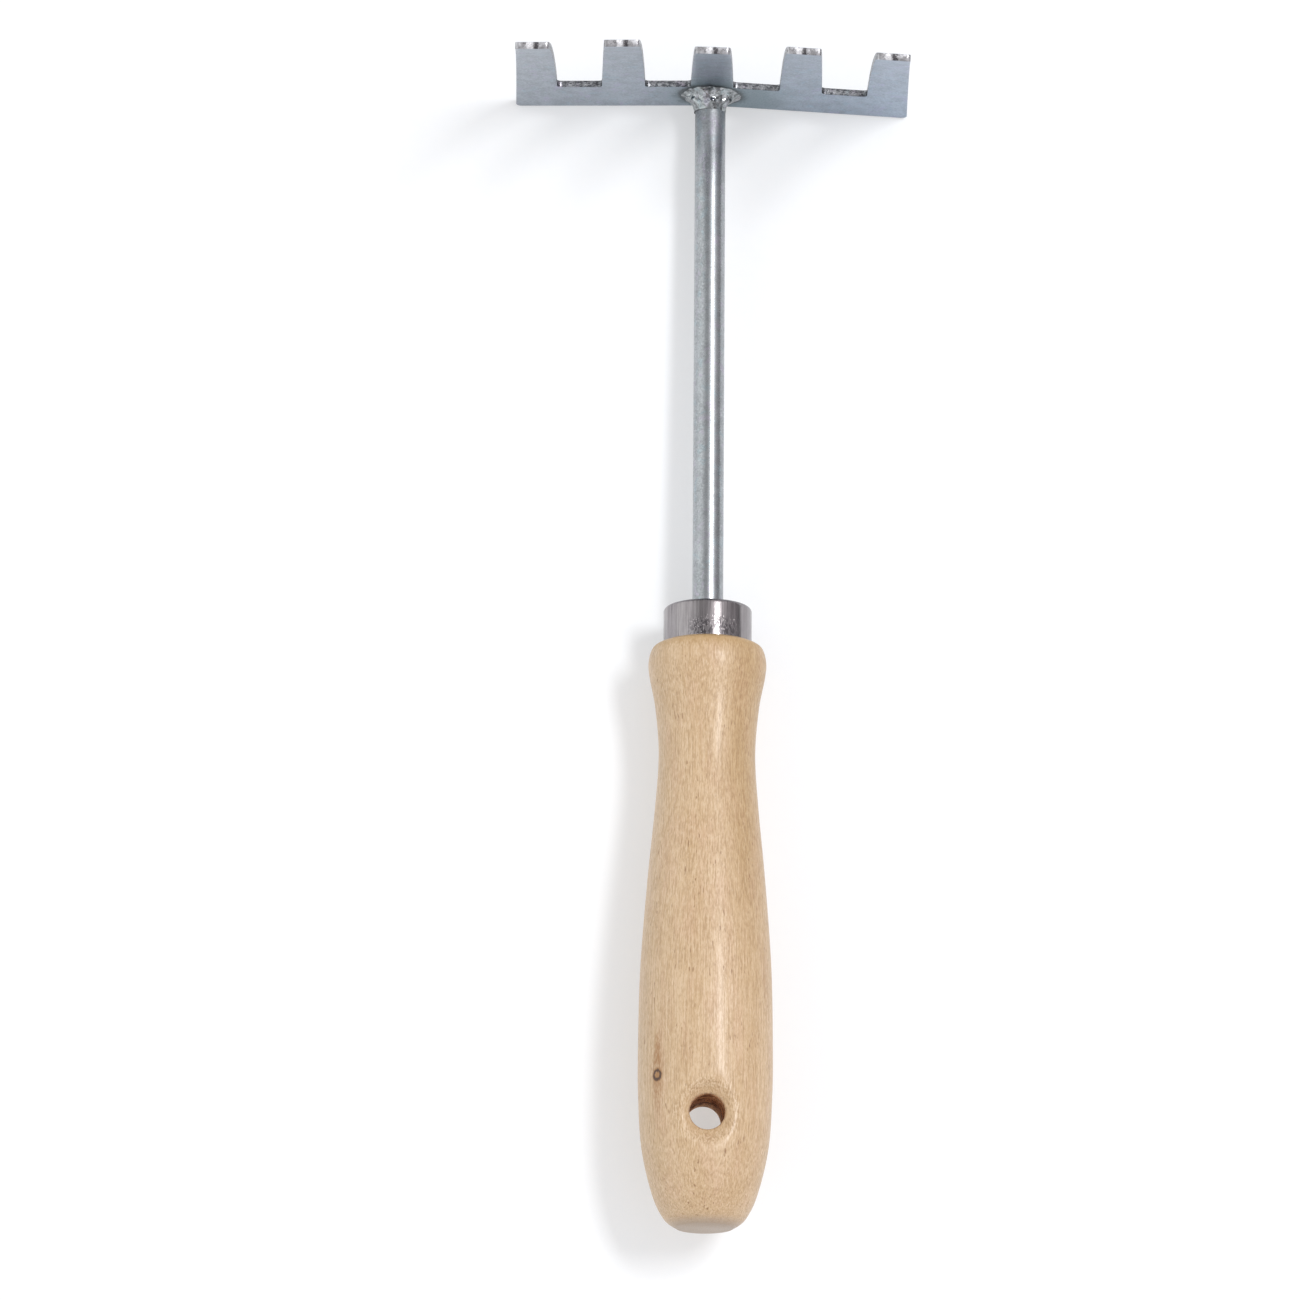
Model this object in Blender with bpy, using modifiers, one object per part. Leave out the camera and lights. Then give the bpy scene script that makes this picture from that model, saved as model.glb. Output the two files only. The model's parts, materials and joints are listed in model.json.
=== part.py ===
"""Hand rake: a five-toothed steel head welded to a rod, which a ferruled wooden handle holds.

The tool is drawn along +Y in its own frame, with the head at the far end and the teeth up, and is then
laid down the way it rests: on the head's back edge and on the handle's shoulder.
"""
from math import atan2, cos, pi, radians, sin, tan

import bmesh
import bpy
from mathutils import Matrix, Vector
from mathutils.geometry import interpolate_bezier

GAP = 0.0003                       # clearance between pieces that touch on the real tool

# Rod
ROD_RADIUS = 0.0035
ROD_EXPOSED = 0.1226               # from the ferrule's face to the head
TANG_DEPTH = 0.048                 # how far the rod runs into the wood
TANG_POINT = 0.012                 # length of its pointed end
POINT_RADIUS = 0.0008

# Head
PLATE = 0.0016                     # sheet thickness
TOOTH_COUNT = 5
TOOTH_PITCH = 0.020
TOOTH_BASE = 0.010
TOOTH_TAPER = 0.0010               # each side, from root to tip
BAR_HEIGHT = 0.0134
HEAD_HEIGHT = 0.0710               # of the flat blank, from back edge to tips
HEAD_WIDTH = (TOOTH_COUNT - 1) * TOOTH_PITCH + TOOTH_BASE
BACK_EDGE_DROP = 0.0074            # rod's axis to the head's back edge
TIP_ROUND = 0.0008
ROOT_ROUND = 0.0010
BAR_ROUND = 0.0012
BOW_RADIUS = 0.198                 # the whole blank is bowed, hollow side to the handle
TOOTH_SET = (0.0, radians(-0.5), radians(1.1), 0.0, 0.0)    # the teeth aren't quite in line
WELD_PULL = radians(2.0)          # each arm of the bar is pulled back by the weld
WELD_PULL_HALF = 0.007             # half-width of the stretch that bends
HEAD_YAW = radians(-1.5)          # the head isn't quite square to the rod

# Weld
BEAD_ON_PLATE = 0.0031             # the fillet's leg along the plate
BEAD_ON_ROD = 0.0042               # and along the rod

# Ferrule
FERRULE_RADIUS = 0.010
FERRULE_WALL = 0.0008
FERRULE_LENGTH = 0.0084
FERRULE_ROUND = 0.0011

# Handle: distance from the butt, and radius
HANDLE_SHAPE = (
    (0.0000, 0.0064),              # rim of the flat butt
    (0.0022, 0.0092),
    (0.0077, 0.0118),
    (0.0181, 0.0142),
    (0.0300, 0.0150),
    (0.0410, 0.0151),              # widest part of the grip
    (0.0595, 0.0147),
    (0.0800, 0.0132),
    (0.0957, 0.0117),
    (0.1084, 0.0109),              # neck
    (0.1192, 0.0117),
    (0.1268, 0.0131),
    (0.1302, 0.0133),              # shoulder
    (0.1330, 0.0125),
    (0.1340, 0.0109),              # rim of the face behind the ferrule
)
HANDLE_LENGTH = HANDLE_SHAPE[-1][0]
SHOULDER_PLACE, SHOULDER_RADIUS = HANDLE_SHAPE[-3]
SPIGOT_RADIUS = FERRULE_RADIUS - FERRULE_WALL - GAP

# Hang hole
HOLE_RADIUS = 0.004
HOLE_PLACE = 0.0250                # from the butt
HOLE_STRAIGHT = 0.0125             # half the stretch between the two countersinks
COUNTERSINK_REACH = 0.0065         # how far each countersink goes on past the straight stretch
COUNTERSINK_HALF_ANGLE = radians(60)
HOLE_LEAN = radians(5)             # drilled a little off square, along the handle
HOLE_SIDE_LEAN = radians(2)        # and across it

# Places along the tool, from the butt
FERRULE_BACK = HANDLE_LENGTH + GAP
FERRULE_FACE = FERRULE_BACK + FERRULE_LENGTH
HEAD_FACE = FERRULE_FACE + ROD_EXPOSED
SPIGOT_END = FERRULE_FACE - FERRULE_WALL - GAP
TANG_END = HANDLE_LENGTH - TANG_DEPTH

# The tool rests on the head's back edge and on the shoulder, so its axis slopes down to the head.
SLOPE = atan2(SHOULDER_RADIUS - BACK_EDGE_DROP, HEAD_FACE + PLATE - SHOULDER_PLACE)

ALONG_TOOL = Matrix.Rotation(-pi / 2, 4, "X")      # a turned piece's Z to the tool's +Y
FACING_HANDLE = Matrix.Rotation(pi / 2, 4, "X")    # an outline's Y to +Z, its front to the handle


def clear_scene():
    """Remove everything that the file starts with."""
    for thing in list(bpy.data.objects):
        bpy.data.objects.remove(thing, do_unlink=True)


def new_collection(name):
    """Make a collection in the scene."""
    group = bpy.data.collections.new(name)
    bpy.context.scene.collection.children.link(group)
    return group


def make_material(name, colour, metallic, roughness):
    """Make a Principled material."""
    material = bpy.data.materials.new(name)
    material.use_nodes = True
    shader = material.node_tree.nodes["Principled BSDF"]
    shader.inputs["Base Color"].default_value = (*colour, 1.0)
    shader.inputs["Metallic"].default_value = metallic
    shader.inputs["Roughness"].default_value = roughness
    material.diffuse_color = (*colour, 1.0)
    return material


def add_piece(name, mesh, group, parent, place, material=None):
    """Put a mesh in the scene as a named piece."""
    piece = bpy.data.objects.new(name, mesh)
    group.objects.link(piece)
    piece.parent = parent
    piece.matrix_local = place
    if material:
        mesh.materials.append(material)
    return piece


def through(points, steps):
    """Give points on a smooth curve through the given (along, out) pairs."""
    knots = [Vector(point) for point in points]
    knots = [2 * knots[0] - knots[1], *knots, 2 * knots[-1] - knots[-2]]
    curve = []
    for before, start, end, after in zip(knots, knots[1:], knots[2:], knots[3:]):
        lead = start + (end - before) / 6
        trail = end - (after - start) / 6
        curve += interpolate_bezier(start, lead, trail, end, steps + 1)[:-1]
    return curve + [knots[-2]]


def arc(centre, radius, first, last, steps):
    """Give points on an arc, as (along, out) pairs, with angles from the along direction."""
    angles = [first + (last - first) * step / steps for step in range(steps + 1)]
    return [(centre[0] + radius * cos(angle), centre[1] + radius * sin(angle)) for angle in angles]


def add_turned(name, profile, steps, group, parent, place, material=None, closed=False):
    """Make a turned piece: a profile of (along, out) pairs, spun by a Screw modifier."""
    mesh = bpy.data.meshes.new(name)
    count = len(profile)
    edges = [(step, (step + 1) % count) for step in range(count if closed else count - 1)]
    mesh.from_pydata([(out, 0.0, along) for along, out in profile], edges, [])
    piece = add_piece(name, mesh, group, parent, place, material)
    screw = piece.modifiers.new("Turn", "SCREW")
    screw.steps = steps
    screw.render_steps = steps
    screw.use_merge_vertices = True
    screw.merge_threshold = 0.00001
    return piece


def rounded_outline(corners, steps):
    """Give points round a closed outline whose (x, y, radius) corners are rounded."""
    outline = []
    for before, corner, after in zip(corners[-1:] + corners[:-1], corners, corners[1:] + corners[:1]):
        point = Vector(corner[:2])
        back = (Vector(before[:2]) - point).normalized()
        ahead = (Vector(after[:2]) - point).normalized()
        half = back.angle(ahead) / 2
        start = point + back * corner[2] / tan(half)
        end = point + ahead * corner[2] / tan(half)
        lead = start.lerp(point, 0.55)
        trail = end.lerp(point, 0.55)
        outline += interpolate_bezier(start, lead, trail, end, steps + 1)
    return outline


def head_corners():
    """List the flat blank's corners: the back edge, then each tooth from right to left."""
    corners = [(-HEAD_WIDTH / 2, 0.0, BAR_ROUND), (HEAD_WIDTH / 2, 0.0, BAR_ROUND)]
    for tooth in reversed(range(TOOTH_COUNT)):
        middle = (tooth - (TOOTH_COUNT - 1) / 2) * TOOTH_PITCH
        root = TOOTH_BASE / 2
        tip = root - TOOTH_TAPER
        right = (middle + root, BAR_HEIGHT, ROOT_ROUND)
        left = (middle - root, BAR_HEIGHT, ROOT_ROUND)
        corners += [right] if tooth < TOOTH_COUNT - 1 else []
        corners += [(middle + tip, HEAD_HEIGHT, TIP_ROUND), (middle - tip, HEAD_HEIGHT, TIP_ROUND)]
        corners += [left] if tooth > 0 else []
    return corners


def formed(point):
    """Roll one point of the flat head: bowed going up, arms pulled to the front, teeth set."""
    across, up, out = point
    turn = (BACK_EDGE_DROP - up) / BOW_RADIUS      # square to the rod where it meets the rod
    foot = BACK_EDGE_DROP / BOW_RADIUS
    height = BOW_RADIUS * (sin(foot) - sin(turn)) + out * sin(turn)
    front = BOW_RADIUS * (1.0 - cos(turn)) + out * cos(turn)
    reach = abs(across)
    pull = reach - WELD_PULL_HALF / 2
    if reach < WELD_PULL_HALF:
        pull = reach ** 2 / (2 * WELD_PULL_HALF)
    tooth = round(across / TOOTH_PITCH) + TOOTH_COUNT // 2
    lean = max(up - BAR_HEIGHT, 0.0) * tan(TOOTH_SET[tooth])
    return Vector((across, height, front + pull * tan(WELD_PULL) + lean))


def head_blank(group):
    """Make the flat head as a welded mesh from a filled outline."""
    curve = bpy.data.curves.new("head_outline", "CURVE")
    curve.dimensions = "2D"
    curve.fill_mode = "BOTH"
    curve.extrude = PLATE / 2
    spline = curve.splines.new("POLY")
    outline = rounded_outline(head_corners(), 3)
    spline.points.add(len(outline) - 1)
    for slot, point in zip(spline.points, outline):
        slot.co = (point.x, point.y, 0.0, 1.0)
    spline.use_cyclic_u = True
    drawn = bpy.data.objects.new("head_outline", curve)
    group.objects.link(drawn)
    view = bpy.context.evaluated_depsgraph_get()
    mesh = bpy.data.meshes.new_from_object(drawn.evaluated_get(view))
    bpy.data.objects.remove(drawn)
    return mesh


def head_mesh(group):
    """Cut the flat head into strips where it bends, then roll it to shape."""
    mesh = head_blank(group)
    blank = bmesh.new()
    blank.from_mesh(mesh)
    bmesh.ops.remove_doubles(blank, verts=blank.verts, dist=0.00001)
    strips = 7
    heights = [BAR_HEIGHT + (HEAD_HEIGHT - BAR_HEIGHT) * step / strips for step in range(strips)]
    heights += [BAR_HEIGHT / 3, BAR_HEIGHT * 2 / 3]
    cuts = [((0.0, height, 0.0), (0, 1, 0)) for height in heights]
    cuts += [((side * WELD_PULL_HALF / 2, 0.0, 0.0), (1, 0, 0)) for side in (-2, -1, 0, 1, 2)]
    for place, normal in cuts:
        everything = [*blank.verts, *blank.edges, *blank.faces]
        bmesh.ops.bisect_plane(blank, geom=everything, dist=0.000001, plane_co=place, plane_no=normal)
    for vert in blank.verts:
        vert.co = formed(vert.co)
    bmesh.ops.recalc_face_normals(blank, faces=blank.faces)
    blank.to_mesh(mesh)
    blank.free()
    mesh.name = "rake_head"
    return mesh


def bead_profile():
    """Give the weld's section: a hollow fillet between the rod and the plate."""
    inner = ROD_RADIUS + GAP
    back = HEAD_FACE - GAP
    toe = (back - BEAD_ON_ROD, inner)
    rim = (back, inner + BEAD_ON_PLATE)
    hollow = (back - BEAD_ON_ROD * 0.35, inner + BEAD_ON_PLATE * 0.35)
    return [(back, inner), rim, *through([rim, hollow, toe], 3)[1:]]


def shaft_profile():
    """Give the rod's outline: the flat end at the head, and the pointed tang."""
    end = HEAD_FACE - GAP
    return [(end, 0.0), (end, ROD_RADIUS), (TANG_END + TANG_POINT, ROD_RADIUS),
            (TANG_END, POINT_RADIUS), (TANG_END, 0.0)]


def ferrule_profile():
    """Give the drawn cup's section: rim at the wood, rounded front, hole for the rod."""
    hole = ROD_RADIUS + GAP
    inside = FERRULE_RADIUS - FERRULE_WALL
    centre = (FERRULE_FACE - FERRULE_ROUND, FERRULE_RADIUS - FERRULE_ROUND)
    floor = FERRULE_FACE - FERRULE_WALL
    inner_round = FERRULE_ROUND - FERRULE_WALL
    front = arc(centre, FERRULE_ROUND, 0.0, pi / 2, 5)
    inner = arc(centre, inner_round, pi / 2, 0.0, 3)
    return [(floor, hole), (FERRULE_FACE, hole), *front, (FERRULE_BACK, FERRULE_RADIUS),
            (FERRULE_BACK, inside), *inner]


def handle_profile():
    """Give the turned handle's outline: tang bore, spigot, face, grip and flat butt."""
    bore = ROD_RADIUS + GAP
    lead = FERRULE_ROUND - FERRULE_WALL + GAP
    grip = through(HANDLE_SHAPE[::-1], 2)
    return [(TANG_END - GAP, 0.0), (TANG_END - GAP, bore), (SPIGOT_END, bore),
            (SPIGOT_END, SPIGOT_RADIUS - lead), (SPIGOT_END - lead, SPIGOT_RADIUS),
            (HANDLE_LENGTH, SPIGOT_RADIUS), *grip, (0.0, 0.0)]


def hole_profile():
    """Give the hang-hole cutter's outline: a drill with a countersink at each end."""
    reach = HOLE_STRAIGHT + COUNTERSINK_REACH
    flare = HOLE_RADIUS + COUNTERSINK_REACH * tan(COUNTERSINK_HALF_ANGLE)
    return [(reach, 0.0), (reach, flare), (HOLE_STRAIGHT, HOLE_RADIUS),
            (-HOLE_STRAIGHT, HOLE_RADIUS), (-reach, flare), (-reach, 0.0)]


def add_handle(parts, cutters, tool, wood):
    """Turn the handle and drill its hang hole."""
    handle = add_turned("handle", handle_profile(), 48, parts, tool, ALONG_TOOL, wood)
    lean = Matrix.Rotation(HOLE_LEAN, 4, "X") @ Matrix.Rotation(HOLE_SIDE_LEAN, 4, "Y")
    place = Matrix.Translation((0.0, HOLE_PLACE, 0.0)) @ lean
    drill = add_turned("hang_hole_drill", hole_profile(), 32, cutters, tool, place)
    drill.display_type = "WIRE"
    drill.hide_render = True
    cut = handle.modifiers.new("Hang hole", "BOOLEAN")
    cut.operation = "DIFFERENCE"
    cut.solver = "EXACT"
    cut.object = drill
    return handle


def box_of(pieces):
    """Give the lowest and highest corners of the finished pieces."""
    bpy.context.view_layer.update()
    view = bpy.context.evaluated_depsgraph_get()
    corners = []
    for piece in pieces:
        shape = piece.evaluated_get(view)
        corners += [shape.matrix_world @ vert.co for vert in shape.data.vertices]
    low = Vector([min(corner[axis] for corner in corners) for axis in range(3)])
    high = Vector([max(corner[axis] for corner in corners) for axis in range(3)])
    return low, high


def main():
    """Build the tool and lay it on the ground, centred."""
    clear_scene()
    parts = new_collection("hand_rake")
    cutters = new_collection("cutters")
    zinc = make_material("zinc_plate", (0.56, 0.60, 0.63), 1.0, 0.34)
    rod_zinc = make_material("rod_zinc", (0.60, 0.64, 0.65), 1.0, 0.26)
    weld = make_material("weld_metal", (0.58, 0.60, 0.62), 1.0, 0.22)
    burnished = make_material("burnished_steel", (0.56, 0.53, 0.53), 1.0, 0.28)
    wood = make_material("lacquered_wood", (0.66, 0.48, 0.30), 0.0, 0.42)

    tool = bpy.data.objects.new("tool", None)
    parts.objects.link(tool)
    head_turn = bpy.data.objects.new("head_turn", None)
    parts.objects.link(head_turn)
    head_turn.parent = tool
    head_turn.matrix_local = (Matrix.Translation((0.0, HEAD_FACE, 0.0)) @ Matrix.Rotation(HEAD_YAW, 4, "Z")
                              @ Matrix.Translation((0.0, -HEAD_FACE, 0.0)))

    head_place = Matrix.Translation((0.0, HEAD_FACE + PLATE / 2, -BACK_EDGE_DROP)) @ FACING_HANDLE
    head = add_piece("rake_head", head_mesh(parts), parts, head_turn, head_place, zinc)
    bead = add_turned("weld_bead", bead_profile(), 32, parts, head_turn, ALONG_TOOL, weld, closed=True)
    shaft = add_turned("shaft", shaft_profile(), 32, parts, tool, ALONG_TOOL, rod_zinc)
    ferrule = add_turned("ferrule", ferrule_profile(), 48, parts, tool, ALONG_TOOL, burnished, closed=True)
    handle = add_handle(parts, cutters, tool, wood)

    tool.rotation_euler.x = -SLOPE
    low, high = box_of([head, bead, shaft, ferrule, handle])
    tool.location = (-(low.x + high.x) / 2, -(low.y + high.y) / 2, -low.z)


main()
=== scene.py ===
"""Looks of the hand rake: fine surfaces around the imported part, materials, floor, light and camera.

Every piece is drawn in the tool's own frame, along +Y from the handle's butt with the teeth up, and its mesh
is then moved to the part's place. Lengths are in metres, and inside materials in millimetres.
"""
import json
from math import atan2, cos, hypot, pi, radians, sin, sqrt, tan

import bmesh
import bpy
from mathutils import Matrix, Vector, noise
from mathutils.geometry import interpolate_bezier


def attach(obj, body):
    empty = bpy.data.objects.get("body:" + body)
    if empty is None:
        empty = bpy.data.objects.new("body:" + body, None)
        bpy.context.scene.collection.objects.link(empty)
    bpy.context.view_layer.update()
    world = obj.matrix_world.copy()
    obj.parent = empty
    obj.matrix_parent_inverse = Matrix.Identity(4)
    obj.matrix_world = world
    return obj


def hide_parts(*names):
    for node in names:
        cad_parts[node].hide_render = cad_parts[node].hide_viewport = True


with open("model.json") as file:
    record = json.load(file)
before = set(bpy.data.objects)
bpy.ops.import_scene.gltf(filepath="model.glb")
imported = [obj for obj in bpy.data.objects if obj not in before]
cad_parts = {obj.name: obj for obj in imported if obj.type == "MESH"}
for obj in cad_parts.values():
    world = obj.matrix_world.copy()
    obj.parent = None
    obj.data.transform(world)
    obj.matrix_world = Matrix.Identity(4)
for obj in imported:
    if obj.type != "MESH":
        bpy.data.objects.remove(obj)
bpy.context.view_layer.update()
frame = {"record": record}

MM = 0.001

# The part's driving dimensions
ROD_RADIUS = 0.0035
ROD_EXPOSED = 0.1226
ROD_HIDDEN = 0.008                 # how far the visible rod goes into the handle
PLATE = 0.0016
TOOTH_COUNT = 5
TOOTH_PITCH = 0.020
TOOTH_BASE = 0.010
TOOTH_TAPER = 0.0010
BAR_HEIGHT = 0.0134
HEAD_HEIGHT = 0.0710
HEAD_WIDTH = (TOOTH_COUNT - 1) * TOOTH_PITCH + TOOTH_BASE
CORNER_RADIUS = 0.0012
ROOT_RADIUS = 0.0010
TIP_RADIUS = 0.0008
BACK_EDGE_DROP = 0.0074
BOW_RADIUS = 0.198
TOOTH_SET = (0.0, radians(-0.5), radians(1.1), 0.0, 0.0)
WELD_PULL = radians(2.0)
WELD_PULL_HALF = 0.007
HEAD_YAW = radians(-1.5)
BEAD_ON_PLATE = 0.0031
BEAD_ON_ROD = 0.0042
BEAD_HOLLOW = 0.35                 # share of both legs that the hollow fillet keeps at its middle
FERRULE_RADIUS = 0.010
FERRULE_WALL = 0.0008
FERRULE_LENGTH = 0.0084
FERRULE_ROUNDING = 0.0009
HANDLE_SHAPE = (
    (0.0000, 0.0064),              # rim of the flat butt
    (0.0022, 0.0092),
    (0.0077, 0.0118),
    (0.0181, 0.0142),
    (0.0300, 0.0150),
    (0.0410, 0.0151),              # widest part of the grip
    (0.0595, 0.0147),
    (0.0800, 0.0132),
    (0.0957, 0.0117),
    (0.1084, 0.0109),              # neck
    (0.1192, 0.0117),
    (0.1268, 0.0131),
    (0.1302, 0.0133),              # shoulder
    (0.1330, 0.0125),
    (0.1340, 0.0109),              # rim of the face behind the ferrule
)
HANDLE_LENGTH = HANDLE_SHAPE[-1][0]
BORE_DEPTH = 0.010                 # how deep the visible handle's bore for the rod goes
HOLE_RADIUS = 0.004
HOLE_PLACE = 0.0250
HOLE_STRAIGHT = 0.0125
COUNTERSINK_HALF_ANGLE = radians(60)
HOLE_LEAN = radians(5)
HOLE_SIDE_LEAN = radians(2)
GAP = 0.0003
FERRULE_FACE = HANDLE_LENGTH + GAP + FERRULE_LENGTH
HEAD_FACE = FERRULE_FACE + ROD_EXPOSED

# What only the visible surfaces have
TOOTH_DRIFT = (0.0, 0.0, 0.0003, 0.0007, 0.0007)   # how far each tooth is off the part's even pitch
TOOTH_TRIM = (0.0002, 0.0, 0.0001, 0.0001, 0.0002)  # how much slimmer each tooth is on both sides
EDGE_BREAK = 0.00015               # the sheared edges are a little blunt
HEAD_CELL = 0.0011                 # the head's mesh is cut into squares of this size before it is bowed
HEAD_REACH = 0.046                 # the cuts go a little past the head's right end
SINK_REACH = 0.014                 # how far from the hang hole's axis its sink is looked for
SINK_ROUNDING = 0.0006             # the sink's rim is rounded by about this much
FERRULE_SEAT = 0.00002             # gap between ferrule and handle
BEAD_GAP = 0.0001                  # gap between bead and rod, and between bead and plate
BEAD_LUMPS = ((0.0024, 0.0009), (0.0011, 0.0002))   # size and height of the bead's lumps
BEAD_FOOT = 0.0008                 # the lumps fade out within this distance from the rod
SHARP_ANGLE = radians(40)

# Colours of the wood
WOOD_PALE = (0.605, 0.435, 0.267)
WOOD_MID = (0.555, 0.386, 0.222)
WOOD_PINK = (0.580, 0.387, 0.247)
WOOD_GOLDEN = (0.485, 0.315, 0.155)
WOOD_LINE = (0.375, 0.235, 0.120)
WOOD_LIGHT = (0.675, 0.520, 0.355)
WOOD_PORE = (0.250, 0.130, 0.055)
WOOD_KNOT = (0.320, 0.150, 0.042)
WOOD_DARK = (0.050, 0.014, 0.001)
WOOD_SOAKED = (0.430, 0.265, 0.100)
# greyed brown, painted as shade on the butt's end
WOOD_BUTT_SHADE = (0.320, 0.250, 0.195)
# dark brown, painted as shade in and round the hang hole
WOOD_HOLE_SHADE = (0.150, 0.055, 0.020)
# bare wood, paler than its own colour as painted light in the hole
WOOD_RAW_PAINTED_LIGHT = (0.850, 0.520, 0.290)
# a gold-brown darkening, painted as shade on the right of the neck
NECK_SHADE_TINT = (0.84, 0.80, 0.70)

# Places on the wood in millimetres, in the tool's frame, and how much longer each mark is than it is wide
KNOT = Vector((-10.7, 32.5, 10.5))
KNOT_STREAK_AT = Vector((-10.1, 39.0, 10.2))
KNOT_STRETCH = 4.5
# centre and stretch of the painted shade on the right of the neck
NECK_SHADE_SIDE = Vector((10.0, 112.0, 7.0))
NECK_SHADE_STRETCH = 7.0

# Colours of the metals
ROD_ZINC = (0.41, 0.43, 0.445)
PLATE_ZINC = (0.356, 0.402, 0.460)
EDGE_ZINC = (0.36, 0.37, 0.39)
WELD_METAL = (0.43, 0.455, 0.465)
FILM_LEFT = (1.05, 1.02, 0.99)
FILM_RIGHT = (0.94, 0.99, 1.05)
# heat tint round the weld, and in part a painted reflection of the rod
HEAT_TINT_AND_REFLECTION = (0.205, 0.272, 0.305)
# painted reflection: near-black where the plate would mirror the rod's dark side
PAINTED_ROD_REFLECTION = (0.070, 0.092, 0.100)
# painted shade: thin dark ring just outside the weld bead
BEAD_RIM_SHADE = (0.060, 0.070, 0.080)
TIP_GREY = (0.33, 0.325, 0.335)
TIP_RUBBED = (0.52, 0.52, 0.54)
# painted highlight on the burr in the middle of each tip
TIP_BURR_GLINT = (0.88, 0.88, 0.90)
# painted shade for the nick beside it
TIP_NICK_SHADE = (0.07, 0.065, 0.07)
TIP_TORN = (0.12, 0.115, 0.12)
EDGE_TORN = (0.06, 0.065, 0.075)
STEEL_LIGHT = (0.43, 0.408, 0.412)
STEEL_PALE = (0.335, 0.312, 0.316)
STEEL_MID = (0.290, 0.268, 0.274)
STEEL_STREAK = (0.155, 0.142, 0.148)
STEEL_RIM = (0.10, 0.09, 0.10)
STEEL_MARK = (0.08, 0.072, 0.08)

# The stage
FLOOR_DROP = 0.0002
FLOOR_PALE = (0.540, 0.550, 0.562)
FLOOR_MID = (0.530, 0.544, 0.560)
FLOOR_GLOW = 0.40
CARD_PLACE = (0.17, 0.0, 0.012)
CARD_HEIGHT = 0.024
CARD_GREY = (0.16, 0.16, 0.165)
KEY_WAY = Vector((0.50, 0.19, 1.0)).normalized()
KEY_DISTANCE = 2.0
KEY_TARGET = Vector((0.0, 0.0, 0.02))
KEY_SIZE = (0.65, 0.32)
KEY_POWER = 21.5
FILL = 0.94                        # level of the studio round the tool
FILL_LEAN = 0.10                   # how much brighter it is on the handle's side than behind the head
STUDIO = (                         # how bright the studio is, from the left (0) to the right (1)
    (0.0, 1.38), (0.12, 1.40),     # pale wall
    (0.22, 1.02), (0.33, 0.55),
    (0.5, 0.6),                    # dim overhead
    (0.60, 1.0), (0.72, 1.05),     # paler band
    (0.85, 0.75), (0.93, 0.52), (1.0, 0.46),
)
STUDIO_RED_LOSS = 0.02             # the left is this much less red than white
STUDIO_GREEN_LOSS = 0.04           # the right is this much less green than white
LENS = 239.2
CAMERA_TARGET = Vector((-0.0130, -0.0017, 0.019))
CAMERA_DISTANCE = 1.95
CAMERA_TILT = radians(12.41)
CAMERA_ROLL = radians(0.40)


def tool_frame():
    """Give the tool's own frame in the world, from the record's mount on the butt."""
    butt = [mount for mount in frame["record"]["mounts"] if mount["name"] == "butt_end"][0]
    along = -Vector(butt["axis"])
    slope = atan2(along.z, along.y)
    return Matrix.Translation(butt["pos_m"]) @ Matrix.Rotation(slope, 4, "X")


TOOL = tool_frame()
HEAD = (TOOL @ Matrix.Translation((0.0, HEAD_FACE, 0.0)) @ Matrix.Rotation(HEAD_YAW, 4, "Z")
        @ Matrix.Translation((0.0, -HEAD_FACE, 0.0)))
ON_HEAD = Matrix.Translation((0.0, HEAD_FACE + PLATE / 2, -BACK_EDGE_DROP)) @ Matrix.Rotation(pi / 2, 4, "X")
HOLE = (Matrix.Translation((0.0, HOLE_PLACE, 0.0)) @ Matrix.Rotation(HOLE_LEAN, 4, "X")
        @ Matrix.Rotation(HOLE_SIDE_LEAN, 4, "Y"))
TO_HOLE = HOLE.inverted()


# ---------------------------------------------------------------- material nodes

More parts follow.
